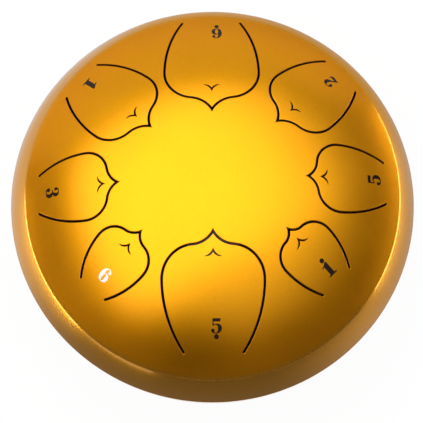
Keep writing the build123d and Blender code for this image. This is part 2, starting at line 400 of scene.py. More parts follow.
def flake_gold():
    """Metallic flake paint, worn on the slit edges, with a clear coat on the side. Painted shade turns it
    redder towards the rim, and thin overspray with painted shade makes it dark inside.
    """
    colours = bpy.context.scene.drum_finish
    rubbed = (0.72, 0.50, 0.22, 1.0)
    backward = (0.37, 0.93, 0)

    def surface(wiring):
        place = object_place(wiring)
        # Overspray and painted shade: the inner faces and the lower part of each slit wall take the dark
        # inside colour.
        inside = wiring.attribute("depth").rise(0.12, 0.5)
        edge = wiring.attribute("edge")
        cells = {"Vector": place, "Scale": 3600.0}
        tints = wiring.node("ShaderNodeTexVoronoi", None, cells, output="Color")
        flake = wiring.node("ShaderNodeSeparateColor", None, {"Color": tints})
        cloud = wiring.noise(place, 42.0, 3.0)
        peel = wiring.noise(place, 760.0, 1.0)
        scuff = wiring.noise(place, 520.0, 4.0, 0.65).rise(0.46, 0.66)
        # The flakes show on the dome. The clear coat covers the side, and is thinner at the back.
        flat = wiring.node("ShaderNodeVectorMath", {"operation": "MULTIPLY"}, {0: place, 1: (1, 1, 0)})
        reach = wiring.length(flat)
        side = reach.rise(0.0895, 0.0925)
        # Painted shade: from the middle of the dome out to the bend the paint turns to the redder rim gold.
        outer = reach.rise(0.055, 0.091) * (1 - side)
        sparkle = flake * (1 - side)
        behind = (wiring.dot(flat, backward) / reach).rise(0.45, 0.9)
        dark, light = (
            wiring.blend(outer, opaque(colours.gold, shade), opaque(colours.outer_gold, shade))
            for shade in (0.86, 1.1)
        )
        paint = wiring.blend(flake * 0.5 + cloud * 0.5, dark, light)
        worn = wiring.blend(edge * scuff * 0.55, paint, rubbed)
        overspray_and_shade = wiring.blend(cloud, opaque(colours.inside, 0.6), opaque(colours.inside, 1.3))
        return {
            "Base Color": wiring.blend(inside, worn, overspray_and_shade),
            "Metallic": 1 - inside * 0.45,
            "Roughness": 0.29 + cloud * 0.04 + sparkle * 0.04 + inside * 0.3 - side * 0.08,
            "Coat Weight": (0.1 + side * (0.9 - behind * 0.85)) * (1 - inside),
            "Coat Roughness": 0.08,
            "Specular Tint": (1.0, 0.9, 0.65, 1.0),
            "Normal": wiring.bump(peel * 0.7 + sparkle * 0.3, 0.05),
        }

    return finish("flake_gold", surface)


def digit_print():
    """Glossy black print of the numbers."""
    ink = bpy.context.scene.drum_finish.digit_ink

    def surface(wiring):
        speck = wiring.noise(object_place(wiring), 2600.0, 3.0, 0.6)
        return {
            "Base Color": wiring.blend(speck, opaque(ink, 0.6), opaque(ink, 1.6)),
            "Roughness": 0.09 + speck * 0.06,
            "IOR": 1.3,
        }

    return finish("digit_print", surface)


def foot_rubber():
    """Matt black rubber with fine grain and a little dust."""
    rubber = bpy.context.scene.drum_finish.rubber
    dusty = (0.11, 0.105, 0.10, 1.0)

    def surface(wiring):
        place = object_place(wiring)
        grain = wiring.noise(place, 3200.0, 2.0)
        dust = wiring.noise(place, 260.0, 5.0, 0.7).rise(0.5, 0.75)
        return {
            "Base Color": wiring.blend(dust * 0.35, opaque(rubber), dusty),
            "Roughness": 0.62 + dust * 0.2 + grain * 0.1,
            "Normal": wiring.bump(grain, 0.25),
        }

    return finish("foot_rubber", surface)


def bright_zinc():
    """Bright zinc plate with faint turning marks and a few dull patches."""
    zinc = bpy.context.scene.drum_finish.zinc

    def surface(wiring):
        place = object_place(wiring)
        patch = wiring.noise(place, 420.0, 4.0, 0.6)
        marks = wiring.noise(place, 5200.0, 1.0)
        return {
            "Base Color": wiring.blend(patch, opaque(zinc, 0.72), opaque(zinc, 1.08)),
            "Metallic": 1.0,
            "Roughness": 0.24 + patch * 0.2,
            "Normal": wiring.bump(marks, 0.12, 0.0001),
        }

    return finish("bright_zinc", surface)


def material_of(maker):
    """Material of a maker, made the first time it is asked for."""
    return bpy.data.materials.get(maker.__name__) or maker()


def arc(centre, radius, start, end, steps):
    """Points of an arc, from one angle to another."""
    turn = np.linspace(start, end, steps + 1)
    return np.column_stack((centre[0] + radius * np.cos(turn), centre[1] + radius * np.sin(turn)))


def unit(vectors):
    """Vectors made one unit long."""
    return vectors / np.linalg.norm(vectors, axis=-1, keepdims=True)


def inside_loop(points, loop):
    """Which points of the plan lie inside a closed loop."""
    x, y = points[:, :1], points[:, 1:]
    x1, y1 = loop.T
    x2, y2 = np.roll(loop, -1, axis=0).T
    rise = np.where(y2 == y1, 1e-30, y2 - y1)
    crossed = ((y1 > y) != (y2 > y)) & (x < x1 + (y - y1) * (x2 - x1) / rise)
    return crossed.sum(axis=1) % 2 == 1


def clear_of(points, loop, gap):
    """Which points of the plan keep a gap from a loop's points."""
    near = ((points[:, None] - loop[None]) ** 2).sum(axis=2).min(axis=1)
    return near > gap**2


class Dome:
    """Pressed profile of the upper shell, on which the plan is laid."""

    def __init__(self, shape):
        self.shape = shape
        self.centre = shape.equator + shape.dome_rise - shape.dome_radius
        self.bend_start = asin(shape.dome_reach / shape.dome_radius)
        outward = Vector((sin(self.bend_start), cos(self.bend_start)))
        self.bend = Vector((0, self.centre)) + (shape.dome_radius - shape.bend_radius) * outward
        to_rim = Vector((shape.drum_radius, shape.equator)) - self.bend
        between = shape.side_radius - shape.bend_radius
        along = (between**2 - shape.side_radius**2 + to_rim.length**2) / (2 * to_rim.length)
        inward = Vector((to_rim.y, -to_rim.x)).normalized() * sqrt(between**2 - along**2)
        self.side = self.bend + to_rim.normalized() * along + inward
        self.bend_end = atan2(self.bend.x - self.side.x, self.bend.y - self.side.y)

    def lay(self, plan, depth):
        """Points of the plan laid on the dome, a depth below its skin."""
        height = np.sqrt((self.shape.dome_radius - depth) ** 2 - (plan**2).sum(axis=1))
        return np.column_stack((plan, self.centre + height))

    def facing(self, points):
        """Outward direction of the dome at points on it."""
        return unit(points - np.array((0, 0, self.centre)))


class Skin:
    """Closed surface gathered from rings and fields, with a normal at each corner of its faces."""

    def __init__(self, dome):
        self.dome = dome
        self.count = 0
        self.points = []
        self.traits = {"depth": [], "edge": []}
        self.faces = []
        self.normals = []

    def add(self, points, depth=0.0, edge=0.0):
        """Take in points and return their numbers."""
        self.points.append(points)
        self.traits["depth"].append(np.full(len(points), depth / self.dome.shape.sheet))
        self.traits["edge"].append(np.full(len(points), edge))
        self.count += len(points)
        return np.arange(self.count - len(points), self.count)

    def band(self, first, second, first_facing, second_facing):
        """Quads between two closed rings of as many points."""
        for gathered, low, high in (
            (self.faces, first, second),
            (self.normals, first_facing, second_facing),
        ):
            corners = (low, np.roll(low, -1, 0), np.roll(high, -1, 0), high)
            gathered.append(np.stack(corners, axis=1))

    def field(self, rim, holes, seeds, gap, depth, side):
        """Triangles over the plan inside the rim and outside the holes. Each loop is (numbers, plan)."""
        loops = [rim, *holes]
        for number, (_, plan) in enumerate(loops):
            seeds = seeds[inside_loop(seeds, plan) == (number == 0)]
            seeds = seeds[clear_of(seeds, plan, gap)]
        numbers = [loop[0] for loop in loops] + [self.add(self.dome.lay(seeds, depth), depth)]
        plan = np.vstack([loop[1] for loop in loops] + [seeds])
        owner = np.concatenate([np.full(len(part), i) for i, part in enumerate(numbers)])
        numbers = np.concatenate(numbers)
        edges = []
        first = 0
        for loop in loops:
            around = np.arange(first, first + len(loop[0]))
            edges += list(zip(around.tolist(), np.roll(around, -1).tolist()))
            first += len(loop[0])
        result = delaunay_2d_cdt([Vector(p) for p in plan], edges, [], 0, 1e-9)
        if len(result[0]) != len(plan):
            raise RuntimeError("two outlines of the plan touch")
        source = np.array([origin[0] for origin in result[3]])
        triangles = source[np.array(result[2])]
        middles = plan[triangles].mean(axis=1)
        keep = np.ones(len(triangles), bool)
        for number, loop in enumerate(loops):
            own = (owner[triangles] == number).all(axis=1)
            keep[own] = inside_loop(middles[own], loop[1]) == (number == 0)
        triangles = numbers[triangles[keep]]
        points = np.vstack(self.points)
        self.faces.append(triangles)
        self.normals.append(side * self.dome.facing(points[triangles]))

    def piece(self, name, material):
        """Object made of the surface."""
        points = np.vstack(self.points)
        faces = []
        normals = []
        for corners, facings in zip(self.faces, self.normals):
            spot = points[corners]
            across = np.cross(spot[:, 2] - spot[:, 0], spot[:, -1] - spot[:, 1])
            if corners.shape[1] == 3:
                across = np.cross(spot[:, 1] - spot[:, 0], spot[:, 2] - spot[:, 0])
            turned = (across * facings.sum(axis=1)).sum(axis=1) < 0
            corners = np.where(turned[:, None], corners[:, ::-1], corners)
            facings = np.where(turned[:, None, None], facings[:, ::-1], facings)
            faces += corners.tolist()
            normals += facings.reshape(-1, 3).tolist()
        mesh = bpy.data.meshes.new(name)
        mesh.from_pydata(points.tolist(), [], faces)
        mesh.shade_smooth()
        mesh.normals_split_custom_set(normals)
        for trait, values in self.traits.items():
            layer = mesh.attributes.new(trait, "FLOAT", "POINT")
            layer.data.foreach_set("value", np.concatenate(values).astype(np.float32))
        mesh.materials.append(material)
        return put(name, mesh)


class Petal:
    """Outline of one tongue in plan, made of a hollow, a rounding and a flank on each side."""

    HOLLOW_STEPS = 16
    ROUNDING_STEPS = 40
    FLANK_STEPS = 48
    CAP_STEPS = 12
    ROOT_STEPS = 16
    # Lean of the sides at the tip, place of the widest point as a share of the length, and radius
    # of the rounding as a share of half the width.
    TIP_ANGLE = radians(30)
    WIDEST_SHARE = 0.40
    ROUNDING_SHARE = 0.64
    # Shares of the length, from the tip, between which the tongue would bend; nothing here bends it.
    BEND_START = 0.99
    BEND_END = 0.62
    NUDGE = 1e-6

    def __init__(self, shape, tongue):
        turn = radians(tongue.azimuth)
        self.along = np.array((cos(turn), sin(turn)))
        self.left = np.array((-sin(turn), cos(turn)))
        tip = shape.drum_radius - tongue.inset - tongue.length
        self.origin = tip * self.along + tongue.side * shape.front_shift * self.left
        self.length = tongue.length
        across, ahead = sin(self.TIP_ANGLE), cos(self.TIP_ANGLE)
        widest = self.WIDEST_SHARE * tongue.length
        half = (tip + widest) * tan(radians(tongue.spread) / 2)
        narrowing = half * (1 - tongue.taper)
        self.flank = ((tongue.length - widest) ** 2 + narrowing**2) / (2 * narrowing)
        self.rounding = self.ROUNDING_SHARE * half
        self.hollow = (widest**2 + half**2 - 2 * half * self.rounding) / (
            2 * (half * ahead + self.rounding * (1 - ahead) - widest * across)
        )
        self.hollow_centre = np.array((-self.hollow * across, self.hollow * ahead))
        self.rounding_centre = np.array((widest, half - self.rounding))
        self.flank_centre = np.array((widest, half - self.flank))
        self.root_turn = acos((tongue.length - widest) / self.flank)

    def place(self, points):
        """Points along and across the tongue, from its tip, placed in the drum's plan."""
        return self.origin + points[:, :1] * self.along + points[:, 1:] * self.left

    def spot(self, share):
        """Point on the tongue's axis, by its share of the length from the tip."""
        return self.place(np.array([(share * self.length, 0.0)]))

    def side(self, growth):
        """One side from the tip to the end of the slit, for a petal grown all round."""
        reach = self.hollow - growth
        lean = self.rounding_centre - self.hollow_centre
        bend = atan2(lean[1], lean[0])
        tip = atan2(-self.hollow_centre[1], sqrt(reach**2 - self.hollow_centre[1] ** 2))
        bulge = self.rounding + growth
        hollow = arc(self.hollow_centre, reach, tip, bend, self.HOLLOW_STEPS)
        rounding = arc(self.rounding_centre, bulge, bend + pi, pi / 2, self.ROUNDING_STEPS)
        flank = arc(self.flank_centre, self.flank + growth, pi / 2, self.root_turn, self.FLANK_STEPS)
        return np.vstack((hollow[:-1], rounding[:-1], flank))

    def ring(self, growth, capped):
        """Closed outline in plan, through the tip and the root line, round the slit's ends if capped."""
        side = self.side(growth)
        if capped:
            end = self.flank_centre + self.flank * np.array((cos(self.root_turn), sin(self.root_turn)))
            cap = arc(end, growth, self.root_turn, self.root_turn - pi, self.CAP_STEPS)
            side = np.vstack((side, cap[1:]))
        root = np.linspace(side[-1], side[-1] * (1, -1), self.ROOT_STEPS + 1)[1:-1]
        return self.place(np.vstack((side, root, side[:0:-1] * (1, -1))))

    def outward(self, growth, capped):
        """Direction in plan in which each point of the outline moves as it grows."""
        direction = unit(self.ring(growth + self.NUDGE, capped) - self.ring(growth, capped))
        sides = (len(direction) - self.ROOT_STEPS + 2) // 2
        direction[sides : sides + self.ROOT_STEPS - 1] = self.along
        return direction


def cut_edge(skin, levels, outward):
    """Rounded edge and wall of a cut, from levels of plan, depth and lean from the skin to the wall."""
    wall = np.column_stack((outward, np.zeros(len(outward))))
    last = None
    top = None
    for plan, depth, lean in levels:
        points = skin.dome.lay(plan, depth)
        facing = unit(cos(lean) * skin.dome.facing(points) + sin(lean) * wall)
        numbers = skin.add(points, depth, sin(2 * lean))
        if last is not None:
            skin.band(last[0], numbers, last[1], facing)
        top = top if top is not None else (numbers, plan)
        last = (numbers, facing)
    return top, (last[0], levels[-1][0])


def edge_levels(ring, edge, sheet, steps=3):
    """Levels of a rounded cut edge, from a ring that takes its distance back from the wall."""
    levels = []
    for lean in np.linspace(0, pi / 2, steps + 1):
        levels.append((ring(edge * (1 - sin(lean))), edge * (1 - cos(lean)), lean))
    levels.append((ring(0.0), sheet, pi / 2))
    return levels


def ring_seeds(reach, spacing):
    """Even points over a disc of the plan, on staggered rings."""
    rings = [np.zeros((1, 2))]
    for number in range(1, int(reach / spacing)):
        count = round(2 * pi * number)
        turn = (np.arange(count) + 0.5 * (number % 2)) * 2 * pi / count
        rings.append(number * spacing * np.column_stack((np.cos(turn), np.sin(turn))))
    return np.vstack(rings)


def grow_loop(loop, growth):
    """Closed loop of the plan moved outwards, its sharp corners cut short, and the points' ways out."""
    ahead = unit(np.roll(loop, -1, axis=0) - loop)
    behind = np.roll(ahead, 1, axis=0)
    sideways = ahead + behind
    sideways = np.where(np.linalg.norm(sideways, axis=1, keepdims=True) < 1e-6, ahead, sideways)
    out = unit(np.column_stack((sideways[:, 1], -sideways[:, 0])))
    square = np.column_stack((ahead[:, 1], -ahead[:, 0]))
    stretch = 1 / np.clip((out * square).sum(axis=1, keepdims=True), 0.6, 1)
    x, y = loop.T
    area = (x * np.roll(y, -1) - y * np.roll(x, -1)).sum()
    return loop + np.sign(area) * growth * out * stretch, np.sign(area) * out


def bowed(start, end, bow, steps):
    """Shallow arc between two points, bowed to the right of its run."""
    start, end = np.array(start), np.array(end)
    chord = end - start
    right = np.array((chord[1], -chord[0])) / np.linalg.norm(chord)
    share = np.linspace(0, 1, steps + 1)[:, None]
    return start + share * chord + 4 * share * (1 - share) * bow * right


class DRUM_OT_upper_shell(bpy.types.Operator):
    """Press the dome, cut a window round each tongue and turn the shoulder down to the weld"""

    bl_idname = "drum.upper_shell"
    bl_label = "Upper Shell"

    SEGMENTS = 320
    # Distance from the axis at which the field of triangles ends and the turned bands begin.
    JOIN = 0.0905

    def turned(self, skin, runs):
        """Bands of a turned profile. A run holds (radius, height) points, their normals and its depth."""
        turn = np.arange(self.SEGMENTS) * 2 * pi / self.SEGMENTS
        around = np.column_stack((np.cos(turn), np.sin(turn)))

        def spun(radius, height):
            return np.column_stack((radius * around, np.full(len(around), height)))

        first = None
        last = None
        for points, normals, depth in runs:
            for (radius, height), normal in zip(points, normals):
                if last is None or (radius, height) != last[1]:
                    numbers = skin.add(spun(radius, height), depth)
                else:
                    numbers = last[0]
                if last is not None and numbers is not last[0]:
                    skin.band(last[0], numbers, spun(*last[2]), spun(*normal))
                first = first if first is not None else (numbers, radius * around)
                last = (numbers, (radius, height), normal)
        return first, (last[0], last[1][0] * around)

    def execute(self, context):
        shape = context.scene.drum_shape
        dome = Dome(shape)
        skin = Skin(dome)
        half = shape.slit / 2
        top_holes = []
        under_holes = []
        for tongue in TONGUES:
            petal = Petal(shape, tongue)
            levels = edge_levels(lambda back: petal.ring(half + back, True), shape.edge, shape.sheet)
            top, under = cut_edge(skin, levels, -petal.outward(half, True))
            top_holes.append(top)
            under_holes.append(under)

        thin = shape.sheet
        below = shape.equator - dome.side.y
        low = acos((below + GROOVE_HALF) / shape.side_radius)
        inner_low = acos(below / (shape.side_radius - thin))
        lean = asin(self.JOIN / shape.dome_radius)
        inner_lean = asin(self.JOIN / (shape.dome_radius - thin))

        def run(centre, radius, start, end, steps, facing, depth):
            turn = np.linspace(start, end, steps + 1)
            points = [(centre[0] + radius * sin(t), centre[1] + radius * cos(t)) for t in turn]
            return points, [(facing * sin(t), facing * cos(t)) for t in turn], depth

        middle = (0.0, dome.centre)
        crown = run(middle, shape.dome_radius, lean, dome.bend_start, 1, 1, 0.0)
        bend = run(dome.bend, shape.bend_radius, dome.bend_start, dome.bend_end, 10, 1, 0.0)
        side = run(dome.side, shape.side_radius, dome.bend_end, low, 16, 1, 0.0)
        inner_side = run(dome.side, shape.side_radius - thin, inner_low, dome.bend_end, 8, -1, thin)
        inner_bend = run(dome.bend, shape.bend_radius - thin, dome.bend_end, dome.bend_start, 5, -1, thin)
        inner_crown = run(middle, shape.dome_radius - thin, dome.bend_start, inner_lean, 2, -1, thin)
        root = (shape.drum_radius - GROOVE_DEPTH, shape.equator)
        groove = ([side[0][-1], root], [(0.7, -0.7), (0.7, -0.7)], thin)
        lip = ([root, inner_side[0][0]], [(0.0, -1.0), (0.0, -1.0)], thin)
        runs = [crown, bend, side, groove, lip, inner_side, inner_bend, inner_crown]
        for earlier, later in zip(runs, runs[1:]):
            later[0][0] = earlier[0][-1]
        outer, inside = self.turned(skin, runs)
        seeds = ring_seeds(self.JOIN, FIELD_SPACING)
        skin.field(outer, top_holes, seeds, FIELD_GAP, 0.0, 1)
        skin.field(inside, under_holes, seeds, FIELD_GAP, thin, -1)

        piece = skin.piece("drum_dome", material_of(flake_gold))
        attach(piece, "shell")
        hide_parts("upper_shell")
        return {"FINISHED"}


def bend_with(piece, dome, petal, tongue):
    """Fix a piece where it stands. The root and the free end of the tongue's bend are found, but nothing
    follows the tongue or bends.
    """
    root = dome.lay(petal.spot(petal.BEND_START), 0.0)[0]
    free = dome.lay(petal.spot(petal.BEND_END), 0.0)[0]
    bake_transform(piece)


class DRUM_OT_tongues(bpy.types.Operator):
    """Cut the eight tongues, each with its chevron"""

    bl_idname = "drum.tongues"
    bl_label = "Tongues"

    # Chevron: width from arm to arm, length along the tongue, thickness at the point, bow of the arms.
    SPAN = 0.0084
    DEPTH = 0.0038
    THICKNESS = 0.0019
    BOW = 0.0008
    ARM_STEPS = 14

    def chevron(self, petal, tongue):
        """Outline of the chevron, a pair of arms that taper away from a point towards the tip."""
        nose = tongue.mark * petal.length - self.DEPTH / 2
        arm = (nose + self.DEPTH, self.SPAN / 2)
        outer = bowed((nose, 0.0), arm, self.BOW, self.ARM_STEPS)
        inner = bowed((nose + self.THICKNESS, 0.0), arm, self.BOW, self.ARM_STEPS)
        half = np.vstack((outer, inner[-2::-1]))
        return petal.place(np.vstack((half, half[-2:0:-1] * (1, -1))))

    def execute(self, context):
        shape = context.scene.drum_shape
        dome = Dome(shape)
        half = shape.slit / 2
        seeds = ring_seeds(shape.dome_reach, FIELD_SPACING)
        for tongue in TONGUES:
            petal = Petal(shape, tongue)
            skin = Skin(dome)
            levels = edge_levels(lambda back: petal.ring(-half - back, False), shape.edge, shape.sheet)
            top, under = cut_edge(skin, levels, petal.outward(-half, False))
            mark = self.chevron(petal, tongue)
            marks = edge_levels(lambda back: grow_loop(mark, back)[0], shape.edge / 2, shape.sheet)
            top_mark, under_mark = cut_edge(skin, marks, -grow_loop(mark, 0.0)[1])
            skin.field(top, [top_mark], seeds, FIELD_GAP, 0.0, 1)
            skin.field(under, [under_mark], seeds, FIELD_GAP, shape.sheet, -1)
            piece = skin.piece(f"petal_{tongue.name}", material_of(flake_gold))
            bend_with(piece, dome, petal, tongue)
            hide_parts(f"tongue_{tongue.name}")
        return {"FINISHED"}


def smooth_loop(points, curve_steps=7, straight_steps=4):
    """Closed outline through points, curved except at its corners."""
    count = len(points)
    spots = np.array([point[:2] for point in points], float)
    corner = [len(point) > 2 for point in points]
    slope = np.zeros((count, 2))
    for i in range(count):
        before, after = spots[i] - spots[i - 1], spots[(i + 1) % count] - spots[i]
        short, long = np.linalg.norm(before), np.linalg.norm(after)
        slope[i] = unit(before * long / short + after * short / long)
    outline = []
    for i in range(count):
        j = (i + 1) % count
        chord = spots[j] - spots[i]
        reach = np.linalg.norm(chord)
        leave = chord if corner[i] else slope[i] * reach
        arrive = chord if corner[j] else slope[j] * reach
        steps = straight_steps if corner[i] and corner[j] else curve_steps
        for t in np.arange(steps) / steps:
            ends = (2 * t**3 - 3 * t**2 + 1) * spots[i], (3 * t**2 - 2 * t**3) * spots[j]
            slopes = (t**3 - 2 * t**2 + t) * leave, (t**3 - t**2) * arrive
            outline.append(ends[0] + slopes[0] + ends[1] + slopes[1])
    return np.array(outline)


class DRUM_OT_numbers(bpy.types.Operator):
    """Print each tongue's number on it, its top towards the middle of the drum"""

    bl_idname = "drum.numbers"
    bl_label = "Numbers"

    SPACING = 0.0006
    DOT_STEPS = 28
    # Distance between the middles of a number and its octave dot, in digit heights.
    DOT_OFFSET = 0.71

    def plate(self, skin, loops):
        """Thin layer of print inside the first loop and outside the others."""
        thick = skin.dome.shape.print_height
        low = loops[0].min(axis=0)
        high = loops[0].max(axis=0)
        grid = np.meshgrid(*(np.arange(a, b, self.SPACING) for a, b in zip(low, high)))
        seeds = np.column_stack([part.ravel() for part in grid])
        rims = {}
        for depth, side in ((-thick, 1), (thick / 2, -1)):
            rims[side] = []
            for loop in loops:
                rims[side].append((skin.add(skin.dome.lay(loop, depth), depth), loop))
            skin.field(rims[side][0], rims[side][1:], seeds, self.SPACING / 2, depth, side)
        for number, (upper, lower) in enumerate(zip(rims[1], rims[-1])):
            out = grow_loop(upper[1], 0.0)[1] * (1 if number == 0 else -1)
            wall = np.column_stack((out, np.zeros(len(out))))
            skin.band(upper[0], lower[0], wall, wall)

    def execute(self, context):
        shape = context.scene.drum_shape
        dome = Dome(shape)
        for tongue in TONGUES:
            petal = Petal(shape, tongue)
            skin = Skin(dome)

            def printed(outline):
                ahead = tongue.reach - (outline[:, 1] - 0.5) * shape.digit_height
                aside = tongue.aside + (outline[:, 0] - DIGIT_MIDDLE) * shape.digit_width
                return ahead[:, None] * petal.along + aside[:, None] * petal.left

            self.plate(skin, [printed(smooth_loop(loop)) for loop in DIGITS[tongue.digit]])
            if tongue.dot:
                dot = arc((0, 0), shape.digit_dot, 0, 2 * pi, self.DOT_STEPS)[:-1]
                dot = dot / (shape.digit_width, shape.digit_height)
                middle = (DIGIT_MIDDLE, 0.5 + tongue.dot * self.DOT_OFFSET)
                self.plate(skin, [printed(dot + middle)])
            piece = skin.piece(f"number_{tongue.name}", material_of(digit_print))
            bend_with(piece, dome, petal, tongue)
        return {"FINISHED"}


def turning_tree(name, cut=None):
    """Tree that turns a profile, given as (radius, -height), and sets copies of it out on a circle.

    A cut of "cross" sinks a cross into each copy. With "holes" there is one piece on the axis, and a
    hole is drilled through it at each place on the circle.
    """
    tree = bpy.data.node_groups.new(name, "GeometryNodeTree")
    tree.is_modifier = True
    tree.interface.new_socket("Geometry", in_out="OUTPUT", socket_type="NodeSocketGeometry")
    for label, kind in (
        ("Geometry", "Geometry"),
        ("Segments", "Int"),
        ("Turning Radius", "Float"),
        ("Copies", "Int"),
        ("Circle Radius", "Float"),
        ("First Angle", "Float"),
        ("Unevenness", "Float"),
        ("Cut Radius", "Float"),
        ("Cut Width", "Float"),
        ("Cut Depth", "Float"),
        ("Cut Height", "Float"),
        ("Material", "Material"),
    ):
        tree.interface.new_socket(label, in_out="INPUT", socket_type=f"NodeSocket{kind}")
    wiring = Wiring(tree)
    group = tree.nodes.new("NodeGroupInput")

    def given(label):
        return Wire(wiring, group.outputs[label])

    def spot(x, y, z):
        return wiring.node("ShaderNodeCombineXYZ", None, {0: x, 1: y, 2: z})

    def moved(geometry, place):
        return wiring.node("GeometryNodeTransform", None, {"Geometry": geometry, "Translation": place})

    def without(geometry, tool):
        meshes = {"Mesh 1": geometry, "Mesh 2": tool}
        return wiring.node("GeometryNodeMeshBoolean", {"operation": "DIFFERENCE"}, meshes)

    def set_out(geometry):
        copies = given("Copies")
        radius = given("Circle Radius")
        number = wiring.node("GeometryNodeInputIndex")
        turn = given("First Angle") + number * (2 * pi) / copies
        place = spot(turn.maths("COSINE", turn) * radius, turn.maths("SINE", turn) * radius, 0.0)
        points = wiring.node("GeometryNodePoints", None, {"Count": copies, "Position": place})
        row = {"Points": points, "Instance": geometry, "Rotation": spot(0.0, 0.0, turn)}
        placed = wiring.node("GeometryNodeInstanceOnPoints", None, row)
        return wiring.node("GeometryNodeRealizeInstances", None, {"Geometry": placed})

    radius = given("Turning Radius")
    profile = wiring.node("GeometryNodeMeshToCurve", None, {"Mesh": given("Geometry")})
    profile = moved(profile, spot(0.0 - radius, 0.0, 0.0))
    circle = {"Resolution": given("Segments"), "Radius": radius}
    path = wiring.node("GeometryNodeCurvePrimitiveCircle", None, circle)
    body = wiring.node("GeometryNodeCurveToMesh", None, {"Curve": path, "Profile Curve": profile})
    merge = {"Geometry": body, "Distance": MERGE_DISTANCE}
    body = wiring.node("GeometryNodeMergeByDistance", None, merge)
    place = wiring.node("GeometryNodeInputPosition")
    wave = (wiring.noise(place, 180.0, 2.0) - 0.5) * given("Unevenness")
    facing = wiring.node("GeometryNodeInputNormal")
    shift = wiring.node("ShaderNodeVectorMath", {"operation": "SCALE"}, {0: facing, "Scale": wave})
    body = wiring.node("GeometryNodeSetPosition", None, {"Geometry": body, "Offset": shift})
    if cut == "cross":
        for length, width in (("Cut Radius", "Cut Width"), ("Cut Width", "Cut Radius")):
            block = spot(given(length) * 2, given(width) * 2, given("Cut Depth") * 2)
            arm = wiring.node("GeometryNodeMeshCube", None, {"Size": block}, output="Mesh")
            body = without(body, moved(arm, spot(0.0, 0.0, given("Cut Height"))))
    if cut == "holes":
        bit = {"Vertices": 40, "Radius": given("Cut Radius"), "Depth": given("Cut Depth")}
        drill = wiring.node("GeometryNodeMeshCylinder", None, bit, output="Mesh")
        body = without(body, set_out(moved(drill, spot(0.0, 0.0, given("Cut Height")))))
    else:
        body = set_out(body)
    body = wiring.node("GeometryNodeSetMaterial", None, {"Geometry": body, "Material": given("Material")})
    wiring.node("NodeGroupOutput", None, {"Geometry": body})
    return tree


def turn_piece(name, profile, closed, material, sizes, cut=None, sharp=35):
    """Piece turned from a profile of (radius, height) points by the turning tree, as a plain mesh."""
    mesh = bpy.data.meshes.new(name)
    around = range(len(profile) if closed else len(profile) - 1)
    edges = [(i, (i + 1) % len(profile)) for i in around]
    mesh.from_pydata([(radius, -height, 0.0) for radius, height in profile], edges, [])
    piece = put(name, mesh)
    modifier = piece.modifiers.new("Turning", "NODES")
    modifier.node_group = turning_tree(f"turn_{name}", cut)
    values = {
        "Segments": 48,
        "Turning Radius": max(radius for radius, _ in profile),
        "Copies": 1,
        "Circle Radius": 0.0,
        "First Angle": 0.0,
        "Unevenness": 0.0,
        "Material": material,
        **sizes,
    }
    for socket in modifier.node_group.interface.items_tree:
        if socket.in_out == "INPUT" and socket.name in values:
            modifier[socket.identifier] = values[socket.name]
    graph = bpy.context.evaluated_depsgraph_get()
    turned = bpy.data.meshes.new_from_object(piece.evaluated_get(graph), depsgraph=graph)
    piece.modifiers.clear()
    piece.data = turned
    bpy.data.meshes.remove(mesh)
    turned.name = name
    solid = bmesh.new()
    solid.from_mesh(turned)
    bmesh.ops.remove_doubles(solid, verts=solid.verts, dist=MERGE_DISTANCE)
    bmesh.ops.dissolve_degenerate(solid, edges=solid.edges, dist=MERGE_DISTANCE / 10)
    bmesh.ops.recalc_face_normals(solid, faces=solid.faces)
    solid.to_mesh(turned)
    solid.free()
    if not turned.polygons:
        raise RuntimeError(f"{name} came out empty")
    turned.shade_smooth()
    turned.set_sharp_from_angle(angle=radians(sharp))
    return piece


def rounded(corners, radius, steps=4):
    """Closed profile with each corner rounded."""
    points = np.array(corners, float)
    outline = []
    for before, spot, after in zip(np.roll(points, 1, 0), points, np.roll(points, -1, 0)):
        reach = min(radius, np.linalg.norm(before - spot) / 2.2, np.linalg.norm(after - spot) / 2.2)
        start = spot + unit(before - spot) * reach
        end = spot + unit(after - spot) * reach
        for t in np.linspace(0, 1, steps + 1):
            outline.append(tuple((1 - t) ** 2 * start + 2 * t * (1 - t) * spot + t**2 * end))
    return outline


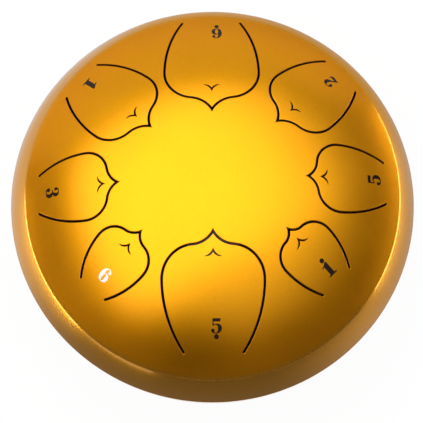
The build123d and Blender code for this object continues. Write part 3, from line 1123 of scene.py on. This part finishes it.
class DRUM_OT_lower_shell(bpy.types.Operator):
    """Turn the bowl with its sound hole and drill it for the feet"""

    bl_idname = "drum.lower_shell"
    bl_label = "Lower Shell"

    # Rounding of the sound hole's edges, and how far the flat base keeps from the knuckle.
    LIP = 0.0004
    EASE = 0.004
    WALL_STEPS = 24
    KNUCKLE_STEPS = 20
    BASE_STEPS = 10

    def execute(self, context):
        shape = context.scene.drum_shape
        thin = shape.sheet
        base = shape.base
        floor = base + thin
        hole = shape.hole_radius
        lip = self.LIP
        curl = 0.3 * lip
        wall = (shape.drum_radius - shape.bowl_radius, shape.equator)
        knuckle_z = base + shape.knuckle_radius
        fall = shape.equator - knuckle_z
        knuckle_r = wall[0] + sqrt((shape.bowl_radius - shape.knuckle_radius) ** 2 - fall**2)
        knuckle = (knuckle_r, knuckle_z)
        tilt = atan2(fall, knuckle_r - wall[0])
        groove = asin(GROOVE_HALF / shape.bowl_radius)
        flat = knuckle_r - self.EASE
        outer = [
            *arc(wall, shape.bowl_radius, -groove, -tilt, self.WALL_STEPS)[:-1],
            *arc(knuckle, shape.knuckle_radius, -tilt, -pi / 2, self.KNUCKLE_STEPS),
            *np.linspace((flat, base), (hole + lip, base), self.BASE_STEPS),
        ]
        mouth = [
            (hole + curl, base + curl),
            (hole, base + lip),
            (hole, floor - lip),
            (hole + curl, floor - curl),
        ]
        inner = [
            *np.linspace((hole + lip, floor), (flat, floor), self.BASE_STEPS),
            *arc(knuckle, shape.knuckle_radius - thin, -pi / 2, -tilt, self.KNUCKLE_STEPS)[:-1],
            *arc(wall, shape.bowl_radius - thin, -tilt, 0, self.WALL_STEPS),
        ]
        root = [(shape.drum_radius - GROOVE_DEPTH, shape.equator)]
        profile = [tuple(map(float, point)) for point in (*outer, *mouth, *inner, *root)]
        sizes = {
            "Segments": 288,
            "Copies": FOOT_COUNT,
            "Circle Radius": shape.foot_circle,
            "First Angle": FIRST_FOOT,
            "Cut Radius": SCREW_HOLE,
            "Cut Depth": 4 * thin,
            "Cut Height": base + thin / 2,
        }
        piece = turn_piece("drum_bowl", profile, True, material_of(flake_gold), sizes, cut="holes")
        mesh = piece.data
        # Inner faces take the dark inside colour: thin overspray and painted shade.
        depth = mesh.attributes.new("depth", "FLOAT", "POINT")
        middle = Vector((0, 0, shape.equator))
        for vertex, value in zip(mesh.vertices, depth.data):
            value.value = 1.0 if vertex.normal.dot(vertex.co - middle) < 0 else 0.0
        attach(piece, "shell")
        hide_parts("lower_shell")
        return {"FINISHED"}


class DRUM_OT_seam(bpy.types.Operator):
    """Fill the groove between the shells with a ground and painted weld"""

    bl_idname = "drum.seam"
    bl_label = "Seam Weld"

    # Section of the weld, as distances past the rim and above the equator.
    SECTION = (
        (-0.00036, 0.00125),
        (-0.0002, 0.00095),
        (-0.00002, 0.0005),
        (0.0001, 0.0),
        (0.00009, -0.0005),
        (0.00005, -0.00095),
        (-0.00002, -0.00125),
        (-0.0009, 0.0),
    )
    UNEVENNESS = 0.00012

    def execute(self, context):
        shape = context.scene.drum_shape
        profile = [(shape.drum_radius + past, shape.equator + above) for past, above in self.SECTION]
        sizes = {"Segments": 720, "Unevenness": self.UNEVENNESS}
        piece = turn_piece("drum_seam", profile, True, material_of(flake_gold), sizes, sharp=60)
        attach(piece, "shell")
        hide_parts("seam_weld")
        return {"FINISHED"}


class DRUM_OT_feet(bpy.types.Operator):
    """Set out the rubber feet with their screws, washers and nuts"""

    bl_idname = "drum.feet"
    bl_label = "Feet"

    FOOT_RADIUS = 0.010
    TREAD_RADIUS = 0.0085
    RECESS_RADIUS = 0.0051
    FOOT_WEB = 0.003
    FOOT_ROUNDING = 0.0007
    WASHER_RADIUS = 0.0045
    WASHER_THICKNESS = 0.0008
    WASHER_ROUNDING = 0.00015
    # Outline of a screw's head, as distances from its axis and heights above its lowest point.
    HEAD = (
        (0.0, 0.0),
        (0.0012, 0.00002),
        (0.0022, 0.0001),
        (0.0031, 0.00036),
        (0.0037, 0.0009),
        (0.004, 0.0017),
    )
    HEAD_RADIUS = 0.004
    HEAD_HEIGHT = 0.0024
    HEAD_BEVEL = 0.0001
    CROSS = {"Cut Radius": 0.0021, "Cut Width": 0.0004, "Cut Depth": 0.0011}
    SHANK_RADIUS = 0.002
    SHANK_TOP = 0.0088
    THREAD_START = 0.0090
    THREAD_DEPTH = 0.0003
    PITCH = 0.0007
    SCREW_TOP = 0.0137
    POINT_HEIGHT = 0.0006
    POINT_BEVEL = 0.0005
    NUT_RADIUS = 0.0035 / cos(pi / 6)
    NUT_BORE = 0.00205 / cos(pi / 6)
    NUT_HEIGHT = 0.0032
    NUT_CHAMFER = 0.0004

    def screw(self, low, under):
        """Half outline of a screw, from the lowest point of its head to the top of its thread."""
        shank = self.SHANK_RADIUS
        top = self.SCREW_TOP
        outline = [(radius, low + height) for radius, height in self.HEAD]
        head = self.HEAD_RADIUS
        bevel = self.HEAD_BEVEL
        outline += [(head, under - bevel), (head - bevel, under)]
        outline += [(shank, under), (shank, self.SHANK_TOP)]
        for level in np.arange(self.THREAD_START, top - self.PITCH, self.PITCH):
            outline += [(shank, level), (shank - self.THREAD_DEPTH, level + self.PITCH / 2)]
        return outline + [(shank, top - self.POINT_HEIGHT), (shank - self.POINT_BEVEL, top), (0.0, top)]

    def execute(self, context):
        shape = context.scene.drum_shape
        zinc = material_of(bright_zinc)
        out = {"Copies": FOOT_COUNT, "Circle Radius": shape.foot_circle, "First Angle": FIRST_FOOT}
        top = shape.foot_height
        seat = top - self.FOOT_WEB
        recess = self.RECESS_RADIUS
        tread = [(recess, 0.0), (self.TREAD_RADIUS, 0.0), (self.FOOT_RADIUS, top)]
        tread += [(SCREW_HOLE, top), (SCREW_HOLE, seat), (recess, seat)]
        sides = rounded(tread, self.FOOT_ROUNDING)
        feet = turn_piece("rubber_feet", sides, True, material_of(foot_rubber), {"Segments": 72, **out})
        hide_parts("foot_1", "foot_2", "foot_3")

        under = seat - self.WASHER_THICKNESS
        edge = self.WASHER_RADIUS
        washer = [(SCREW_HOLE, under), (edge, under), (edge, seat), (SCREW_HOLE, seat)]
        washer = rounded(washer, self.WASHER_ROUNDING, 2)
        washers = turn_piece("foot_washers", washer, True, zinc, {"Segments": 56, **out})
        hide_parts("foot_washer_1", "foot_washer_2", "foot_washer_3")

        low = under - self.HEAD_HEIGHT
        sizes = {"Segments": 56, **out, **self.CROSS, "Cut Height": low}
        screws = turn_piece("foot_screws", self.screw(low, under), False, zinc, sizes, cut="cross")
        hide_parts("foot_screw_1", "foot_screw_2", "foot_screw_3")

        floor = shape.base + shape.sheet
        roof = floor + self.NUT_HEIGHT
        corner = self.NUT_RADIUS
        chamfer = self.NUT_CHAMFER
        block = [(self.NUT_BORE, floor), (corner, floor), (corner, roof - chamfer)]
        block += [(corner - chamfer, roof), (self.NUT_BORE, roof)]
        nuts = turn_piece("foot_nuts", block, True, zinc, {"Segments": 6, **out}, sharp=20)
        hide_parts("foot_nut_1", "foot_nut_2", "foot_nut_3")
        for piece in (feet, washers, screws, nuts):
            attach(piece, "shell")
        return {"FINISHED"}


class DRUM_OT_stage(bpy.types.Operator):
    """Set up the floor, the softbox, the lamps, the reflected card, the dim room and the camera"""

    bl_idname = "drum.stage"
    bl_label = "Stage"

    FLOOR_RADIUS = 6.0
    SOFTBOX_PLACE = (-0.21, 0.565, 1.18)
    SOFTBOX_TURN = radians(25)
    # Left, right, front and back edges of the softbox's cloth.
    SOFTBOX_EDGES = (-2.1, 3.8, -2.9, 2.0)
    # Turn and rise in degrees, and width, of the lamps that the numbers mirror.
    GLINTS = {"glint_6": (205, 40, 0.26), "glint_3": (165, 31, 0.1)}
    GLINT_DISTANCE = 1.3
    CARD_REACHES = (0.112, 3.0)
    CARD_HEIGHT = 0.001
    # Aim of the camera to the right of the drum's middle and above it, as the camera sees it.
    AIM = (-0.00048, -0.00475)

    def floor(self, stage):
        """Pale floor that looks white to the camera and in reflections, and keeps the drum's shadow."""
        mesh = bpy.data.meshes.new("floor")
        disc = bmesh.new()
        bmesh.ops.create_circle(disc, cap_ends=True, segments=96, radius=self.FLOOR_RADIUS)
        disc.to_mesh(mesh)
        disc.free()
        material, wiring = blank_material("pale_floor")
        material.cycles.emission_sampling = "NONE"
        direct, mirrored, through = (
            wiring.node("ShaderNodeLightPath", output=f"Is {kind} Ray")
            for kind in ("Camera", "Glossy", "Transmission")
        )
        seen = direct + mirrored + through
        clear_of_drum = wiring.length(object_place(wiring)).rise(0.06, 0.09)
        matt = wiring.node("ShaderNodeBsdfDiffuse", None, {"Color": opaque(stage.floor)})
        white = wiring.node("ShaderNodeEmission", None, {"Strength": 1.0})
        share = seen * clear_of_drum * 0.95
        lit = wiring.node("ShaderNodeMixShader", None, {0: share, 1: matt, 2: white})
        below = wiring.node("ShaderNodeNewGeometry", output="Backfacing")
        nothing = wiring.node("ShaderNodeBsdfTransparent")
        mixed = wiring.node("ShaderNodeMixShader", None, {0: below, 1: lit, 2: nothing})
        wiring.node("ShaderNodeOutputMaterial", None, {"Surface": mixed})
        mesh.materials.append(material)
        floor = put("floor", mesh)

    def softbox(self, stage):
        """Wide cloth over the drum, lit from above and fading out towards its edges."""
        left, right, front, back = self.SOFTBOX_EDGES
        corners = [(left, front, 0), (right, front, 0), (right, back, 0), (left, back, 0)]
        mesh = bpy.data.meshes.new("softbox")
        mesh.from_pydata(corners, [], [(3, 2, 1, 0)])

        def surface(wiring):
            across, along = (
                wiring.node("ShaderNodeSeparateXYZ", None, {0: object_place(wiring)}, output=axis)
                for axis in ("X", "Y")
            )
            # Right of the middle, the cloth fades slowly to the right and has a long tail to the front.
            rightward = across.rise(-0.9, -0.2)
            from_right = across.rise(0, 2.2) * 0.8
            far_right = across.rise(2.4, right) * 0.2
            sides = across.rise(-2.05, -1.4) * (1 - from_right - far_right)
            edge = along.rise(rightward * 0.35 - 1.6, rightward * 0.06 - 0.95)
            tail = along.rise(front, -0.7)
            near = edge + rightward * 0.55 * (tail - edge)
            far = (along + across * 0.15).rise(0.5, 1.65)
            return {
                "Base Color": grey(0.0),
                "Specular IOR Level": 0.0,
                "Emission Color": wiring.blend(sides * (near * (1 - far)), grey(0.0), grey(1.0)),
                "Emission Strength": stage.softbox,
            }

        mesh.materials.append(finish("softbox_cloth", surface))
        cloth = put("softbox", mesh)
        cloth.location = self.SOFTBOX_PLACE
        cloth.rotation_euler.z = self.SOFTBOX_TURN
        cloth.visible_camera = False

    def lamp(self, name, across, along, place, turned, glow):
        """Flat lamp. Its glow is the brightness of its face, and at 1 the face looks white."""
        light = bpy.data.lights.new(name, "AREA")
        light.shape = "RECTANGLE"
        light.size = across
        light.size_y = along
        light.energy = glow * pi * across * along
        lamp = put(name, light)
        lamp.location = place
        lamp.rotation_euler = turned
        lamp.visible_camera = False
        return lamp

    def lamps(self, stage):
        """Wall behind the drum and low strips at its sides, each upright and facing the drum."""
        for name, across, along, degrees, distance, height, glow in (
            ("back_wall", 5.2, 0.9, 100, 1.7, 0.45, stage.back_wall),
            ("left_strip", 0.28, 0.028, 193, 0.32, 0.038, stage.strips),
            ("left_tail", 0.2, 0.02, 231, 0.32, 0.038, 0.2 * stage.strips),
            ("right_strip", 0.36, 0.028, 7, 0.32, 0.038, stage.strips),
        ):
            turn = radians(degrees)
            place = (distance * cos(turn), distance * sin(turn), height)
            self.lamp(name, across, along, place, (-pi / 2, 0, turn - pi / 2), glow)

    def glints(self, stage):
        """Small lamps that only the printed numbers mirror."""
        prints = bpy.data.collections.new("printed_numbers")
        for piece in bpy.data.objects:
            if piece.name.startswith("number_"):
                prints.objects.link(piece)
        for name, (turn_degrees, rise_degrees, across) in self.GLINTS.items():
            turn = radians(turn_degrees)
            rise = radians(rise_degrees)
            outward = Vector((cos(turn) * cos(rise), sin(turn) * cos(rise), sin(rise)))
            turned = outward.to_track_quat("Z", "Y").to_euler()
            lamp = self.lamp(name, across, across, self.GLINT_DISTANCE * outward, turned, stage.glints)
            lamp.light_linking.receiver_collection = prints

    def floor_card(self):
        """Flat card round the drum, darker in front and lighter to the left: painted shade of the floor
        round the drum. Only reflections show it.
        """
        mesh = bpy.data.meshes.new("floor_card")
        ring = bmesh.new()
        for reach in self.CARD_REACHES:
            bmesh.ops.create_circle(ring, segments=64, radius=reach)
        bmesh.ops.bridge_loops(ring, edges=ring.edges)
        bmesh.ops.translate(ring, verts=ring.verts, vec=(0, 0, self.CARD_HEIGHT))
        ring.to_mesh(mesh)
        ring.free()

        def surface(wiring):
            place = object_place(wiring)
            heading = wiring.node("ShaderNodeVectorMath", {"operation": "NORMALIZE"}, {0: place})
            leftward = wiring.dot(heading, (-1, 0, 0))
            ahead = wiring.dot(heading, (-0.21, -0.98, 0))
            # Painted shade of the floor: greys darker than the lit floor, darkest in front of the drum.
            behind = wiring.blend(leftward.rise(-0.6, 0.9), grey(0.4), grey(0.48))
            return {"Base Color": wiring.blend(ahead.rise(0.3, 0.9), behind, grey(0.13))}

        mesh.materials.append(finish("graded_card", surface))
        card = put("floor_card", mesh)
        card.visible_camera = False
        card.visible_diffuse = False
        card.visible_shadow = False

    def room(self, stage):
        """Dim white light from all round."""
        world = bpy.data.worlds.new("dim_room")
        world.use_nodes = True
        backdrop = world.node_tree.nodes["Background"]
        backdrop.inputs["Color"].default_value = grey(1.0)
        backdrop.inputs["Strength"].default_value = stage.room
        bpy.context.scene.world = world

    def camera(self, stage, shape):
        """Camera at the photograph's viewing angle."""
        cam = bpy.data.cameras.new("camera")
        cam.sensor_width = 36.0
        cam.lens = stage.lens
        turn = stage.azimuth
        rise = stage.elevation
        back = Vector((sin(turn) * cos(rise), -cos(turn) * cos(rise), sin(rise)))
        right = Vector((cos(turn), sin(turn), 0))
        up = back.cross(right)
        aside, above = self.AIM
        target = Vector((0, 0, shape.equator)) + above * up + aside * right
        eye = put("camera", cam)
        eye.location = target + stage.distance * back
        eye.rotation_euler = (-back).to_track_quat("-Z", "Y").to_euler()
        bpy.context.scene.camera = eye

    def execute(self, context):
        stage = context.scene.drum_stage
        self.floor(stage)
        self.softbox(stage)
        self.lamps(stage)
        self.glints(stage)
        self.floor_card()
        self.room(stage)
        self.camera(stage, context.scene.drum_shape)
        context.scene.view_settings.view_transform = "Standard"
        return {"FINISHED"}


class DRUM_PT_sidebar(bpy.types.Panel):
    """Sizes, colours and steps of the drum"""

    bl_idname = "DRUM_PT_sidebar"
    bl_label = "Steel Tongue Drum"
    bl_space_type = "VIEW_3D"
    bl_region_type = "UI"
    bl_category = "Drum"

    def draw(self, context):
        column = self.layout.column()
        for group in (context.scene.drum_shape, context.scene.drum_finish, context.scene.drum_stage):
            for name in group.__annotations__:
                column.prop(group, name)
        for step in STEPS:
            column.operator(step.bl_idname)


GROUPS = {"drum_shape": DrumShape, "drum_finish": DrumFinish, "drum_stage": DrumStage}
STEPS = (
    DRUM_OT_upper_shell,
    DRUM_OT_tongues,
    DRUM_OT_numbers,
    DRUM_OT_lower_shell,
    DRUM_OT_seam,
    DRUM_OT_feet,
    DRUM_OT_stage,
)


def register():
    for name, group in GROUPS.items():
        bpy.utils.register_class(group)
        setattr(bpy.types.Scene, name, bpy.props.PointerProperty(type=group))
    for cls in (*STEPS, DRUM_PT_sidebar):
        bpy.utils.register_class(cls)


def unregister():
    for cls in (DRUM_PT_sidebar, *reversed(STEPS)):
        bpy.utils.unregister_class(cls)
    for name, group in GROUPS.items():
        delattr(bpy.types.Scene, name)
        bpy.utils.unregister_class(group)


def main():
    register()
    for step in STEPS:
        family, name = step.bl_idname.split(".")
        getattr(getattr(bpy.ops, family), name)()


if __name__ == "__main__":
    main()
